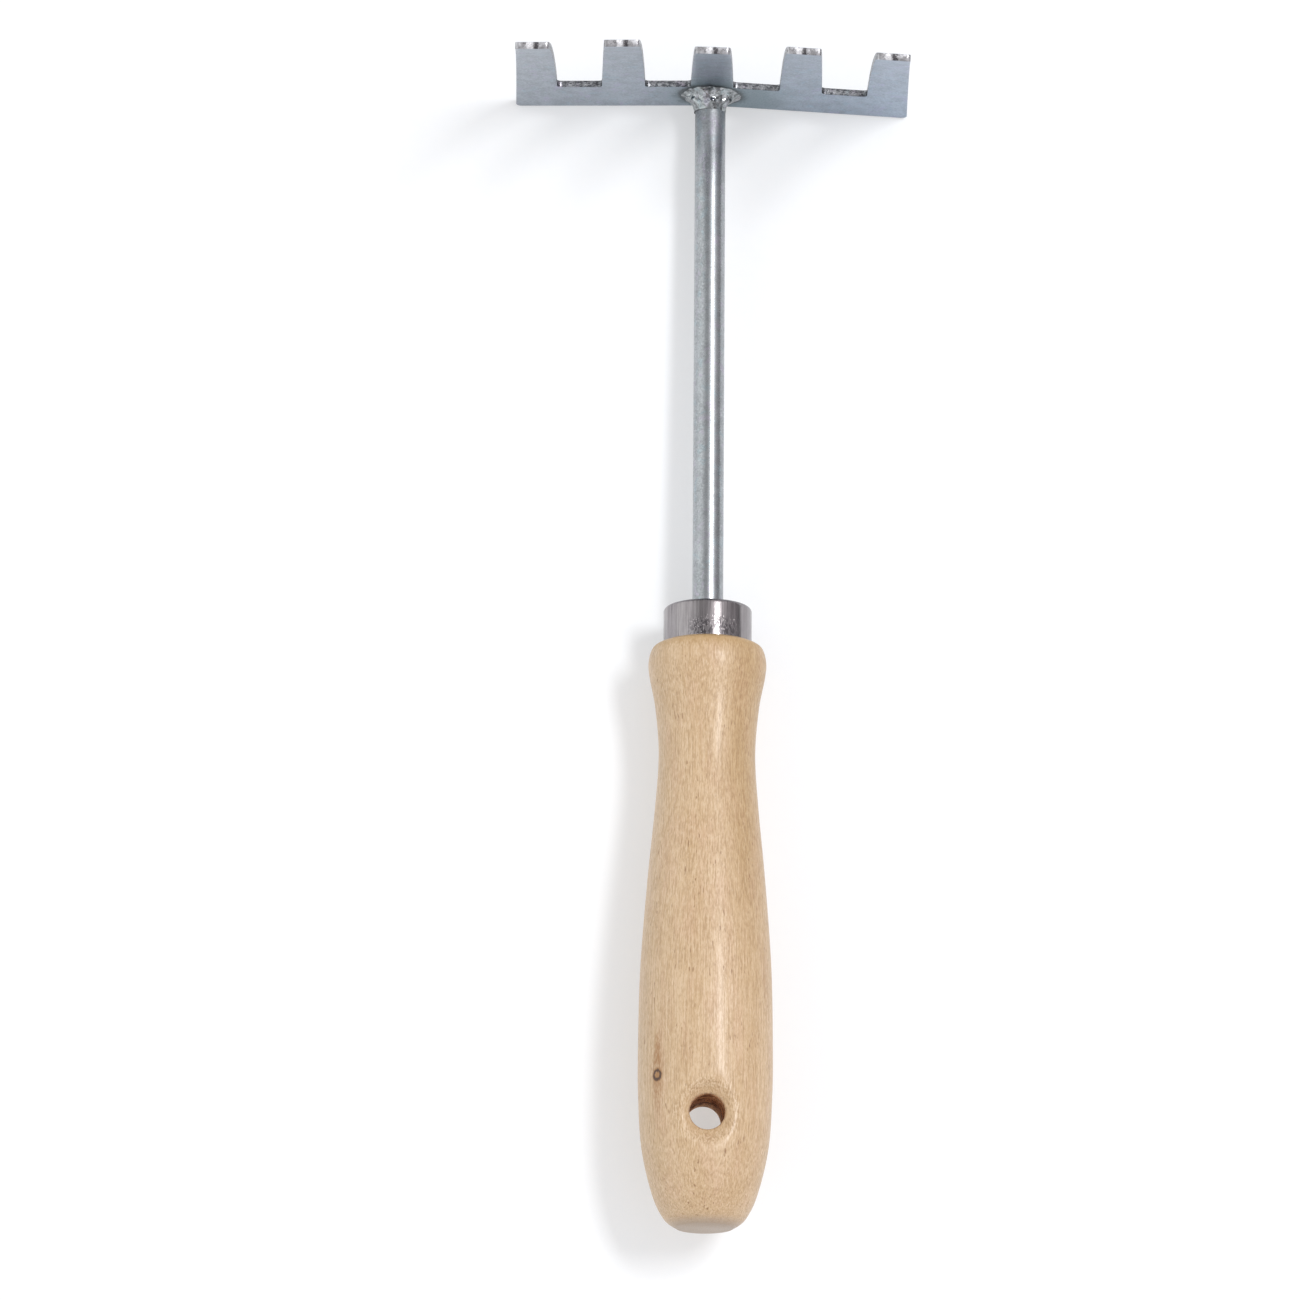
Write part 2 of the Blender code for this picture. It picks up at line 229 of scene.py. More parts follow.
class Net:
    """A material and short ways to add nodes to it."""

    def __init__(self, name, own_frame=Matrix.Identity(4)):
        self.own_frame = own_frame
        self.material = bpy.data.materials.new(name)
        self.material.use_nodes = True
        self.nodes = self.material.node_tree.nodes
        self.links = self.material.node_tree.links
        self.shader = self.nodes["Principled BSDF"]

    def put(self, target, value):
        """Give an input a value or a link."""
        if isinstance(value, bpy.types.NodeSocket):
            self.links.new(value, target)
        elif isinstance(value, (tuple, list)) and len(value) == 3 and target.type == "RGBA":
            target.default_value = (*value, 1.0)
        else:
            target.default_value = value

    def set(self, **values):
        """Set the Principled shader's inputs."""
        for name, value in values.items():
            self.put(self.shader.inputs[name.replace("_", " ")], value)

    def so_far(self, name):
        """Give what is linked to one of the Principled shader's inputs."""
        return self.shader.inputs[name].links[0].from_socket

    def place(self, unit=(1.0, 1.0, 1.0), own_frame=None):
        """Give the place in the piece's own or another frame, in units of so many millimetres each way."""
        own_frame = own_frame or self.own_frame
        world = self.nodes.new("ShaderNodeTexCoord")
        mapping = self.nodes.new("ShaderNodeMapping")
        mapping.vector_type = "TEXTURE"
        self.links.new(world.outputs["Object"], mapping.inputs["Vector"])
        mapping.inputs["Location"].default_value = own_frame.to_translation()
        mapping.inputs["Rotation"].default_value = own_frame.to_euler()
        mapping.inputs["Scale"].default_value = [MM * size for size in unit]
        return mapping.outputs["Vector"]

    def axes(self, own_frame=None):
        """Give how far across, along and up the place is, in millimetres."""
        node = self.nodes.new("ShaderNodeSeparateXYZ")
        self.links.new(self.place(own_frame=own_frame), node.inputs[0])
        return node.outputs["X"], node.outputs["Y"], node.outputs["Z"]

    def noise(self, unit, seed=0.0, detail=3.0, rough=0.55, distort=0.0):
        """Add a noise texture whose grains are about a unit, in millimetres each way, and give its value."""
        node = self.nodes.new("ShaderNodeTexNoise")
        node.noise_dimensions = "4D"
        self.links.new(self.place(unit), node.inputs["Vector"])
        node.inputs["W"].default_value = seed
        node.inputs["Scale"].default_value = 1.0
        node.inputs["Detail"].default_value = detail
        node.inputs["Roughness"].default_value = rough
        node.inputs["Distortion"].default_value = distort
        return node.outputs["Fac"]

    def math(self, kind, first, second=0.0):
        """Add a Math node and give its value."""
        node = self.nodes.new("ShaderNodeMath")
        node.operation = kind
        self.put(node.inputs[0], first)
        self.put(node.inputs[1], second)
        return node.outputs["Value"]

    def times(self, first, second):
        """Multiply two values."""
        return self.math("MULTIPLY", first, second)

    def fit(self, value, low, high, to_low=0.0, to_high=1.0, smooth=True):
        """Map a value's range to another one, clamped."""
        node = self.nodes.new("ShaderNodeMapRange")
        node.interpolation_type = "SMOOTHSTEP" if smooth else "LINEAR"
        self.links.new(value, node.inputs["Value"])
        for name, number in (("From Min", low), ("From Max", high), ("To Min", to_low), ("To Max", to_high)):
            node.inputs[name].default_value = number
        return node.outputs["Result"]

    def blend(self, amount, first, second, kind="MIX"):
        """Mix two colours."""
        node = self.nodes.new("ShaderNodeMix")
        node.data_type = "RGBA"
        node.blend_type = kind
        self.put(node.inputs["Factor"], amount)
        self.put(node.inputs[6], first)
        self.put(node.inputs[7], second)
        return node.outputs[2]

    def far_from(self, point, stretch=1.0):
        """Give the distance in millimetres from a point, with what lies along the tool divided by stretch."""
        node = self.nodes.new("ShaderNodeVectorMath")
        node.operation = "DISTANCE"
        self.links.new(self.place((1.0, stretch, 1.0)), node.inputs[0])
        node.inputs[1].default_value = (point[0], point[1] / stretch, point[2])
        return node.outputs["Value"]

    def bump(self, height, depth_mm):
        """Add a bump: the depth in millimetres of a height that runs from 0 to 1."""
        node = self.nodes.new("ShaderNodeBump")
        self.links.new(height, node.inputs["Height"])
        node.inputs["Distance"].default_value = depth_mm * MM
        node.inputs["Strength"].default_value = 1.0
        if self.shader.inputs["Normal"].is_linked:
            self.links.new(self.so_far("Normal"), node.inputs["Normal"])
        self.links.new(node.outputs["Normal"], self.shader.inputs["Normal"])


# ---------------------------------------------------------------- wood

def wood_material():
    """Pale close-grained wood under a thin lacquer, with a knot, a soaked front, painted shade on the butt's
    end and painted shade on the right of the neck.
    """
    net = Net("lacquered_wood", TOOL)
    lines = net.noise((0.27, 14.0, 0.27), detail=3.0, rough=0.6)
    bands = net.noise((1.3, 55.0, 1.3), seed=3.1)
    grit = net.noise((0.29, 1.3, 0.29), seed=6.0, detail=2.0, rough=0.7)
    colour = grain_colour(net, lines, bands, grit)
    # painted shade: the right side of the neck is darkened and tinted gold-brown
    neck_shade = net.fit(net.far_from(NECK_SHADE_SIDE, NECK_SHADE_STRETCH), 13.0, 2.0)
    colour = net.blend(neck_shade, colour, NECK_SHADE_TINT, "MULTIPLY")
    colour = knot_colour(net, colour, grit)

    along = net.axes()[1]
    along_by_grain = net.math("ADD", along, net.times(lines, 2.5))
    front = HANDLE_LENGTH / MM
    colour = net.blend(net.fit(along_by_grain, front - 2.6, front + 1.2, 0.0, 0.75), colour, WOOD_SOAKED)
    # painted shade: the butt's end face and the first millimetres of its side are darkened
    colour = net.blend(net.fit(along_by_grain, 3.2, 0.8, 0.0, 0.8), colour, WOOD_BUTT_SHADE)
    colour = hole_colour(net, colour, grit)
    net.set(Base_Color=colour, Roughness=net.fit(grit, 0.3, 0.7, 0.38, 0.55))
    net.set(Coat_Weight=0.28, Coat_Roughness=0.23, Coat_IOR=1.42)
    net.bump(lines, 0.075)
    net.bump(grit, 0.045)
    net.bump(bands, 0.10)
    return net.material


def grain_colour(net, lines, bands, grit):
    """Colour the plain wood: clouds, warm bands, fine lines, grit and pores."""
    cloudy = net.noise((5.0, 9.0, 5.0), seed=4.0, rough=0.6)
    warm = net.noise((4.0, 14.0, 4.0), seed=8.0, rough=0.6)
    pores = net.noise((0.42, 2.2, 0.42), seed=11.0, detail=1.0)
    where_pores = net.noise((5.0, 9.0, 5.0), seed=13.0, detail=1.0)
    colour = net.blend(net.fit(cloudy, 0.35, 0.65), WOOD_PALE, WOOD_MID)
    colour = net.blend(net.fit(warm, 0.48, 0.66, 0.0, 0.55), colour, WOOD_PINK)
    colour = net.blend(net.fit(bands, 0.50, 0.70, 0.0, 0.40), colour, WOOD_GOLDEN)
    colour = net.blend(net.fit(lines, 0.46, 0.64, 0.0, 0.62), colour, WOOD_LINE)
    colour = net.blend(net.fit(lines, 0.47, 0.36, 0.0, 0.50), colour, WOOD_LIGHT)
    colour = net.blend(net.fit(grit, 0.50, 0.66, 0.0, 0.50), colour, WOOD_LINE)
    colour = net.blend(net.fit(grit, 0.48, 0.34, 0.0, 0.50), colour, WOOD_LIGHT)
    dots = net.times(net.fit(pores, 0.64, 0.71), net.fit(where_pores, 0.44, 0.62, 0.10, 0.85))
    return net.blend(dots, colour, WOOD_PORE)


def knot_colour(net, colour, grit):
    """Draw the pin knot: a dark ring, and a brown streak along the grain on both sides."""
    ragged = net.math("ADD", net.far_from(KNOT), net.times(grit, 1.2))
    fray = net.fit(grit, 0.38, 0.58, 0.35, 1.0)
    above = net.fit(net.far_from(KNOT_STREAK_AT, KNOT_STRETCH), 1.6, 0.3, 0.0, 0.95)
    about = net.fit(net.far_from(KNOT, KNOT_STRETCH), 2.4, 0.6, 0.0, 0.75)
    colour = net.blend(net.times(fray, above), colour, WOOD_KNOT)
    colour = net.blend(net.times(fray, about), colour, WOOD_KNOT)
    colour = net.blend(net.fit(ragged, 2.5, 1.7, 0.0, 0.80), colour, WOOD_KNOT)
    ring = net.times(net.fit(ragged, 1.15, 1.45), net.fit(ragged, 2.15, 1.75))
    return net.blend(net.times(ring, 0.95), colour, WOOD_DARK)


def hole_colour(net, colour, grit):
    """Roughen the wood where the hang hole is sunk, tint it gold-brown towards the wall, and darken its lip
    as painted shade.
    """
    across, along, _ = net.axes(TOOL @ HOLE)
    reach = net.math("SQRT", net.math("ADD", net.times(across, across), net.times(along, along)))
    torn = net.math("ADD", reach, net.times(grit, 2.0))
    wall = HOLE_RADIUS / MM
    dish = net.fit(torn, wall + 5.0, wall + 4.0)
    colour = net.blend(net.times(dish, net.fit(grit, 0.49, 0.38, 0.0, 0.75)), colour, WOOD_LIGHT)
    colour = net.blend(net.times(dish, net.fit(grit, 0.51, 0.62, 0.0, 0.65)), colour, WOOD_LINE)
    net.bump(net.times(dish, grit), 0.10)
    colour = net.blend(net.fit(torn, wall + 3.6, wall + 1.4, 0.0, 0.40), colour, WOOD_GOLDEN)
    # painted shade: the lip of the hole is darkened
    return net.blend(net.fit(torn, wall + 1.25, wall + 1.00, 0.0, 0.6), colour, WOOD_HOLE_SHADE)


def drilled_material():
    """The bare, rough wall of the drilled hang hole, in pale patches brightened as painted light and dark
    brown patches of painted shade.
    """
    net = Net("drilled_wood", TOOL)
    torn = net.noise((0.35, 0.9, 0.5), detail=3.0, rough=0.65)
    shade_patches = net.noise((2.5, 2.5, 2.5), seed=3.0, detail=2.0)
    # pale bare wood brightened as painted light, broken by dark brown patches of painted shade
    colour = net.blend(net.fit(torn, 0.50, 0.60), WOOD_RAW_PAINTED_LIGHT, WOOD_HOLE_SHADE)
    colour = net.blend(net.fit(shade_patches, 0.50, 0.60, 0.0, 0.85), colour, WOOD_HOLE_SHADE)
    net.set(Base_Color=colour, Roughness=0.85, Specular_IOR_Level=0.15)
    net.bump(torn, 0.15)
    return net.material


# ---------------------------------------------------------------- metals

def scaled(colour, *factors):
    """Multiply a colour's red, green and blue by one factor or by three."""
    factors = factors if len(factors) == 3 else factors * 3
    return tuple(level * factor for level, factor in zip(colour, factors))


def zinc_net(name, own_frame, base, unit, dull, patch=4.0, contrast=0.80, depth=0.006,
             mottled=0.35, grain=0.45):
    """Bright zinc plating: cloudy patches, mottled grains, a faint iridescence and fine drawn lines."""
    net = Net(name, own_frame)
    cloud = net.noise((patch, patch, patch), detail=5.0, rough=0.65, distort=0.6)
    tint = net.noise((2.6, 2.6, 2.6), seed=7.0, detail=2.0, distort=1.0)
    drawn = net.noise(unit, seed=2.0, detail=3.0, rough=0.6)
    mottle = net.noise((grain, grain, grain), seed=9.0, detail=3.0, rough=0.7)
    colour = net.blend(net.fit(cloud, 0.38, 0.64), base, scaled(base, contrast))
    colour = net.blend(net.fit(tint, 0.54, 0.70, 0.0, 0.65), colour, scaled(base, 1.06, 0.93, 1.08))
    colour = net.blend(net.fit(tint, 0.46, 0.30, 0.0, 0.65), colour, scaled(base, 0.87, 1.00, 1.04))
    colour = net.blend(net.fit(mottle, 0.50, 0.66, 0.0, mottled), colour, scaled(base, 0.4))
    colour = net.blend(net.fit(mottle, 0.48, 0.34, 0.0, mottled), colour, scaled(base, 1.5))
    net.set(Base_Color=colour, Metallic=1.0, Roughness=net.fit(mottle, 0.3, 0.7, *dull))
    net.bump(drawn, depth)
    net.bump(mottle, depth * 1.2)
    return net


def rod_material():
    """Drawn rod under zinc, duller at the end that the weld has heated."""
    net = zinc_net("rod_zinc", TOOL, ROD_ZINC, unit=(0.25, 3.0, 0.25), dull=(0.24, 0.36))
    along = net.axes()[1]
    weld = HEAD_FACE / MM
    heated = net.fit(along, weld - 16.0, weld - 5.0, 0.0, 0.20)
    net.set(Roughness=net.math("ADD", net.so_far("Roughness"), heated))
    return net.material


def plate_material():
    """Rolled plate under zinc, with a film that turns bluer to the right, heat-tinted round the weld, with a
    painted reflection of the rod and painted shade at the bead's rim.
    """
    net = zinc_net("zinc_plate", HEAD, PLATE_ZINC, unit=(2.5, 2.5, 0.15), dull=(0.28, 0.48),
                   depth=0.0045, mottled=0.15)
    across, along, _ = net.axes()
    cloud = net.noise((2.2, 2.2, 2.2), seed=15.0, rough=0.6)
    blotch = net.times(cloud, 5.0)
    face = HEAD_FACE / MM
    near = net.far_from((0.0, face, 0.5))
    wide = net.math("ADD", net.far_from((4.0, face, 0.5)), blotch)   # the heat tint, in part a painted reflection of the rod, has spread more to the right
    in_front = net.fit(along, face + 1.3, face + 0.9)
    half = HEAD_WIDTH / MM / 2
    film = net.blend(net.fit(across, -half, half, smooth=False), FILM_LEFT, FILM_RIGHT)
    colour = net.blend(1.0, net.so_far("Base Color"), film, "MULTIPLY")
    # heat tint round the weld, part of it a painted reflection of the rod
    colour = net.blend(net.fit(wide, 21.0, 10.0, 0.0, 0.78), colour, HEAT_TINT_AND_REFLECTION)
    # painted reflection: the plate right above the weld is darkened where it mirrors the rod
    rod_reflection_mask = net.fit(net.math("ADD", near, blotch), 12.0, 8.5, 0.0, 0.8)
    colour = net.blend(net.times(in_front, rod_reflection_mask), colour, PAINTED_ROD_REFLECTION)
    # painted shade: a thin dark ring on the plate just outside the bead's rim
    rim = net.fit(near, 7.9, 7.1, 0.0, 0.7)
    colour = net.blend(net.times(in_front, rim), colour, BEAD_RIM_SHADE)
    net.set(Base_Color=colour)
    return net.material


def edge_material():
    """Sheared edges: dark and torn, but rubbed bright on the tips' ends, with a painted highlight on a burr
    and a nick of painted shade on each.
    """
    net = zinc_net("sheared_edge", HEAD, EDGE_ZINC, unit=(0.5, 0.12, 0.5), dull=(0.20, 0.5),
                   patch=1.1, contrast=0.45, depth=0.02, mottled=0.6, grain=0.8)
    across, _, up = net.axes()
    patches = net.noise((2.6, 2.6, 2.6), seed=21.0, detail=3.0, rough=0.6)
    torn = net.noise((0.7, 0.3, 0.7), seed=22.0, detail=3.0, rough=0.7)
    ragged = net.times(net.noise((0.5, 0.5, 0.5), seed=23.0, rough=0.7), 2.4)
    half_pitch = TOOTH_PITCH / MM / 2
    # a painted highlight on a burr and a painted shade for a nick, in the middle of each tip
    burr_glint, nick_shade = (net.math("ADD", net.math("PINGPONG", net.math("ADD", across, aside), half_pitch), ragged)
                  for aside in (0.5, -0.9))
    bright = net.blend(net.fit(patches, 0.42, 0.58), TIP_GREY, TIP_RUBBED)
    bright = net.blend(net.fit(burr_glint, 2.1, 1.6), bright, TIP_BURR_GLINT)
    bright = net.blend(net.fit(nick_shade, 1.85, 1.45, 0.0, 0.9), bright, TIP_NICK_SHADE)
    bright = net.blend(net.fit(torn, 0.60, 0.68), bright, TIP_TORN)
    dark = net.blend(net.fit(torn, 0.48, 0.56, 0.0, 0.85), net.so_far("Base Color"), EDGE_TORN)
    worn = net.fit(up, 60.0, 61.5)                                   # the last millimetres of the teeth
    net.set(Base_Color=net.blend(worn, dark, bright))
    net.bump(torn, 0.05)
    return net.material


def weld_material():
    """Glossy weld metal in light and dark lumps."""
    net = zinc_net("weld_metal", HEAD, WELD_METAL, unit=(1.6, 1.6, 1.6), dull=(0.08, 0.18),
                   patch=1.5, contrast=0.16, depth=0.035, mottled=0.30, grain=1.3)
    return net.material


def ferrule_material():
    """Bare drawn steel: streaks along the cup, chatter marks low on its top side, and a darker front rim."""
    net = Net("burnished_steel", TOOL)
    streaks = net.noise((0.28, 9.0, 0.28), detail=3.0, rough=0.6)
    smear = net.noise((2.0, 5.0, 2.0), seed=3.0, rough=0.6)
    chatter = net.noise((0.55, 1.20, 0.55), seed=5.0, detail=2.0, rough=0.6, distort=0.8)
    across, along, _ = net.axes()
    front = FERRULE_FACE / MM
    colour = net.blend(net.fit(smear, 0.3, 0.7), STEEL_PALE, STEEL_MID)
    colour = net.blend(net.fit(streaks, 0.50, 0.66, 0.0, 0.65), colour, STEEL_STREAK)
    colour = net.blend(net.fit(streaks, 0.48, 0.36, 0.0, 0.50), colour, STEEL_LIGHT)
    colour = net.blend(net.fit(along, front - 0.75, front - 0.25, 0.0, 0.75), colour, STEEL_RIM)
    in_the_middle = net.times(net.fit(across, -5.5, -2.5), net.fit(across, 8.0, 4.0))
    low = net.times(net.fit(along, front - 3.4, front - 6.2), in_the_middle)
    marks = net.times(low, net.fit(chatter, 0.485, 0.525))
    colour = net.blend(net.times(marks, 0.75), colour, STEEL_MARK)
    net.set(Base_Color=colour, Metallic=1.0, Roughness=net.fit(smear, 0.3, 0.7, 0.17, 0.25))
    net.bump(streaks, 0.006)
    net.bump(marks, 0.04)
    return net.material


# ---------------------------------------------------------------- pieces

def through(points, steps):
    """Give points along a smooth line through these ones."""
    knots = [Vector((*point, 0.0)) for point in points]
    line = [tuple(points[0])]
    for number in range(len(knots) - 1):
        here, there = knots[number], knots[number + 1]
        before = knots[max(number - 1, 0)]
        after = knots[min(number + 2, len(knots) - 1)]
        lead = here + (there - before) / 6
        trail = there - (after - here) / 6
        curve = interpolate_bezier(here, lead, trail, there, steps + 1)
        line += [(point.x, point.y) for point in curve[1:]]
    return line


def turned_mesh(name, profile, segments):
    """Turn a profile of (along, out) pairs about the tool's axis.

    A point with out = 0 closes an end. Where the last point is the first one again, the two are joined.
    """
    form = bmesh.new()
    rings = []
    for along, out in profile:
        if out == 0.0:
            rings.append([form.verts.new((0.0, along, 0.0))])
            continue
        turns = [2 * pi * step / segments for step in range(segments)]
        rings.append([form.verts.new((out * sin(turn), along, out * cos(turn))) for turn in turns])
    for one, two in zip(rings, rings[1:]):
        for step in range(segments):
            after = (step + 1) % segments
            corners = [one[step % len(one)], one[after % len(one)]]
            corners += [two[after % len(two)], two[step % len(two)]]
            form.faces.new(list(dict.fromkeys(corners)))
    bmesh.ops.recalc_face_normals(form, faces=form.faces)
    if profile[0] == profile[-1]:
        bmesh.ops.remove_doubles(form, verts=form.verts, dist=0.001 * MM)
    mesh = bpy.data.meshes.new(name)
    form.to_mesh(mesh)
    form.free()
    return mesh


def new_piece(name, mesh, place, material, node):
    """Put a mesh in the scene as a piece that stands for one node of the part."""
    piece = bpy.data.objects.new(name, mesh)
    bpy.context.scene.collection.objects.link(piece)
    mesh.transform(place)
    mesh.materials.append(material)
    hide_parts(node)
    return piece


def finish_piece(piece):
    """Smooth the piece but for its sharp edges, and let it ride on the tool."""
    piece.data.shade_smooth()
    piece.data.set_sharp_from_angle(angle=SHARP_ANGLE)
    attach(piece, "root")


def add_handle(material, raw):
    """The turned handle: grip, flat butt, blind bore, and the drilled and countersunk hang hole."""
    bore = ROD_RADIUS + GAP
    profile = [(0.0, 0.0), *through(HANDLE_SHAPE, 16), (HANDLE_LENGTH, bore),
               (HANDLE_LENGTH - BORE_DEPTH, bore), (HANDLE_LENGTH - BORE_DEPTH, 0.0)]
    mesh = turned_mesh("handle_fine", profile, 192)
    for vert in mesh.vertices:
        vert.co = sunk(vert.co)
    piece = new_piece("handle_fine", mesh, TOOL, material, "handle")
    drill_hole(piece, raw)
    finish_piece(piece)


def sunk(point):
    """Give where a point of the handle's surface is once the hang hole is countersunk on both sides."""
    spot = TO_HOLE @ point
    reach = hypot(spot.x, spot.y)
    if reach > SINK_REACH:
        return point
    side = 1.0 if spot.z > 0 else -1.0
    sink = HOLE_STRAIGHT + (max(reach, HOLE_RADIUS / 2) - HOLE_RADIUS) / tan(COUNTERSINK_HALF_ANGLE)
    proud = abs(spot.z) - sink
    spot.z = side * (abs(spot.z) - (proud + sqrt(proud * proud + SINK_ROUNDING * SINK_ROUNDING)) / 2)
    return HOLE @ spot


def drill_hole(piece, raw):
    """Cut the hang hole through the handle, with a wall of raw wood."""
    reach = 0.02
    profile = [(-reach, 0.0), (-reach, HOLE_RADIUS), (reach, HOLE_RADIUS), (reach, 0.0)]
    drill = bpy.data.objects.new("drill", turned_mesh("drill", profile, 96))
    bpy.context.scene.collection.objects.link(drill)
    drill.data.materials.append(raw)
    drill.matrix_world = TOOL @ HOLE @ Matrix.Rotation(pi / 2, 4, "X")
    cut = piece.modifiers.new("Hang hole", "BOOLEAN")
    cut.operation = "DIFFERENCE"
    cut.solver = "EXACT"
    cut.material_mode = "TRANSFER"
    cut.object = drill
    bpy.context.view_layer.update()
    view = bpy.context.evaluated_depsgraph_get()
    whole = piece.data
    piece.data = bpy.data.meshes.new_from_object(piece.evaluated_get(view))
    piece.modifiers.clear()
    bpy.data.meshes.remove(whole)
    bpy.data.objects.remove(drill)


def add_shaft(material):
    """The rod, from inside the handle to the head."""
    start = HANDLE_LENGTH - ROD_HIDDEN
    end = HEAD_FACE - GAP
    mesh = turned_mesh("shaft_fine", [(start, 0.0), (start, ROD_RADIUS), (end, ROD_RADIUS), (end, 0.0)], 96)
    finish_piece(new_piece("shaft_fine", mesh, TOOL, material, "shaft"))


def add_ferrule(material):
    """The ferrule: a cup with a rounded front edge and a hole for the rod."""
    hole = ROD_RADIUS + GAP
    inside = FERRULE_RADIUS - FERRULE_WALL
    floor = FERRULE_FACE - FERRULE_WALL
    back = HANDLE_LENGTH + FERRULE_SEAT
    rounded = FERRULE_ROUNDING
    steps = 8
    turns = [pi / 2 * step / steps for step in range(steps + 1)]
    front = [(FERRULE_FACE - rounded + rounded * cos(turn), FERRULE_RADIUS - rounded + rounded * sin(turn))
             for turn in turns]
    profile = [(floor, hole), (FERRULE_FACE, hole), *front, (back, FERRULE_RADIUS), (back, inside),
               (floor, inside), (floor, hole)]
    mesh = turned_mesh("ferrule_fine", profile, 160)
    finish_piece(new_piece("ferrule_fine", mesh, TOOL, material, "ferrule"))


def add_weld(material):
    """The weld bead: a lumpy hollow fillet round the rod."""
    inner = ROD_RADIUS + BEAD_GAP
    back = HEAD_FACE - BEAD_GAP
    rim = (back, inner + BEAD_ON_PLATE)
    hollow = (back - BEAD_ON_ROD * BEAD_HOLLOW, inner + BEAD_ON_PLATE * BEAD_HOLLOW)
    toe = (back - BEAD_ON_ROD, inner)
    profile = [(back, inner), rim, *through([rim, hollow, toe], 16)[1:-1], toe, (back, inner)]
    mesh = turned_mesh("weld_bead_fine", profile, 160)
    for vert in mesh.vertices:
        out = Vector((vert.co.x, 0.0, vert.co.z))
        free = min((out.length - inner) / BEAD_FOOT, 1.0)
        if free > 0.0:
            lump = sum(noise.noise(vert.co / size) * height for size, height in BEAD_LUMPS)
            vert.co += out.normalized() * lump * free
    finish_piece(new_piece("weld_bead_fine", mesh, HEAD, material, "weld_bead"))


# ---------------------------------------------------------------- head

def head_corners():
    """List the flat blank's corners (x, y, radius): the back edge, then each tooth from right to left."""
    left = -HEAD_WIDTH / 2 + TOOTH_DRIFT[0] + TOOTH_TRIM[0]
    right = HEAD_WIDTH / 2 + TOOTH_DRIFT[-1] - TOOTH_TRIM[-1]
    corners = [(left, 0.0, CORNER_RADIUS), (right, 0.0, CORNER_RADIUS)]
    for tooth in reversed(range(TOOTH_COUNT)):
        middle = (tooth - (TOOTH_COUNT - 1) / 2) * TOOTH_PITCH + TOOTH_DRIFT[tooth]
        root = TOOTH_BASE / 2 - TOOTH_TRIM[tooth]
        tip = root - TOOTH_TAPER
        if tooth < TOOTH_COUNT - 1:
            corners.append((middle + root, BAR_HEIGHT, ROOT_RADIUS))
        corners += [(middle + tip, HEAD_HEIGHT, TIP_RADIUS), (middle - tip, HEAD_HEIGHT, TIP_RADIUS)]
        if tooth > 0:
            corners.append((middle - root, BAR_HEIGHT, ROOT_RADIUS))
    return corners


def rounded_outline(corners, steps):
    """Round off each corner (x, y, radius) of a closed outline."""
    lead = 0.55                    # makes the Bezier curve close to an arc
    outline = []
    for number, corner in enumerate(corners):
        before = corners[number - 1]
        after = corners[(number + 1) % len(corners)]
        point = Vector(corner[:2])
        back = (Vector(before[:2]) - point).normalized()
        ahead = (Vector(after[:2]) - point).normalized()
        cut_off = corner[2] / tan(back.angle(ahead) / 2)
        start = point + back * cut_off
        end = point + ahead * cut_off
        outline += interpolate_bezier(start, start.lerp(point, lead), end.lerp(point, lead), end, steps + 1)
    return outline


def formed(point):
    """Roll one point of the flat head: bowed going up, arms pulled to the front, teeth set."""
    across, up, out = point
    turn = (BACK_EDGE_DROP - up) / BOW_RADIUS
    foot = BACK_EDGE_DROP / BOW_RADIUS
    height = BOW_RADIUS * (sin(foot) - sin(turn)) + out * sin(turn)
    front = BOW_RADIUS * (1.0 - cos(turn)) + out * cos(turn)
    reach = abs(across)
    pull = reach - WELD_PULL_HALF / 2
    if reach < WELD_PULL_HALF:
        pull = reach ** 2 / (2 * WELD_PULL_HALF)
    tooth = round(across / TOOTH_PITCH) + TOOTH_COUNT // 2
    lean = max(up - BAR_HEIGHT, 0.0) * tan(TOOTH_SET[tooth])
    return Vector((across, height, front + pull * tan(WELD_PULL) + lean))


def head_blank():
    """Make the flat head as a mesh from a filled outline with blunt edges."""
    curve = bpy.data.curves.new("head_outline", "CURVE")
    curve.dimensions = "2D"
    curve.fill_mode = "BOTH"
    curve.extrude = PLATE / 2 - EDGE_BREAK
    curve.bevel_depth = EDGE_BREAK
    curve.bevel_resolution = 1
    curve.offset = -EDGE_BREAK
    spline = curve.splines.new("POLY")
    outline = rounded_outline(head_corners(), 6)
    spline.points.add(len(outline) - 1)
    for corner, point in zip(spline.points, outline):
        corner.co = (point.x, point.y, 0.0, 1.0)
    spline.use_cyclic_u = True
    drawn = bpy.data.objects.new("head_outline", curve)
    bpy.context.scene.collection.objects.link(drawn)
    view = bpy.context.evaluated_depsgraph_get()
    mesh = bpy.data.meshes.new_from_object(drawn.evaluated_get(view))
    bpy.data.objects.remove(drawn)
    return mesh


def head_cuts():
    """List the planes (place, normal) that cut the flat head into squares, so that it can be bowed."""
    rows = range(1, int(HEAD_HEIGHT / HEAD_CELL) + 1)
    columns = range(-int(HEAD_WIDTH / 2 / HEAD_CELL), int(HEAD_REACH / HEAD_CELL) + 1)
    cuts = [((0.0, HEAD_CELL * number, 0.0), (0, 1, 0)) for number in rows]
    return cuts + [((HEAD_CELL * number, 0.0, 0.0), (1, 0, 0)) for number in columns]


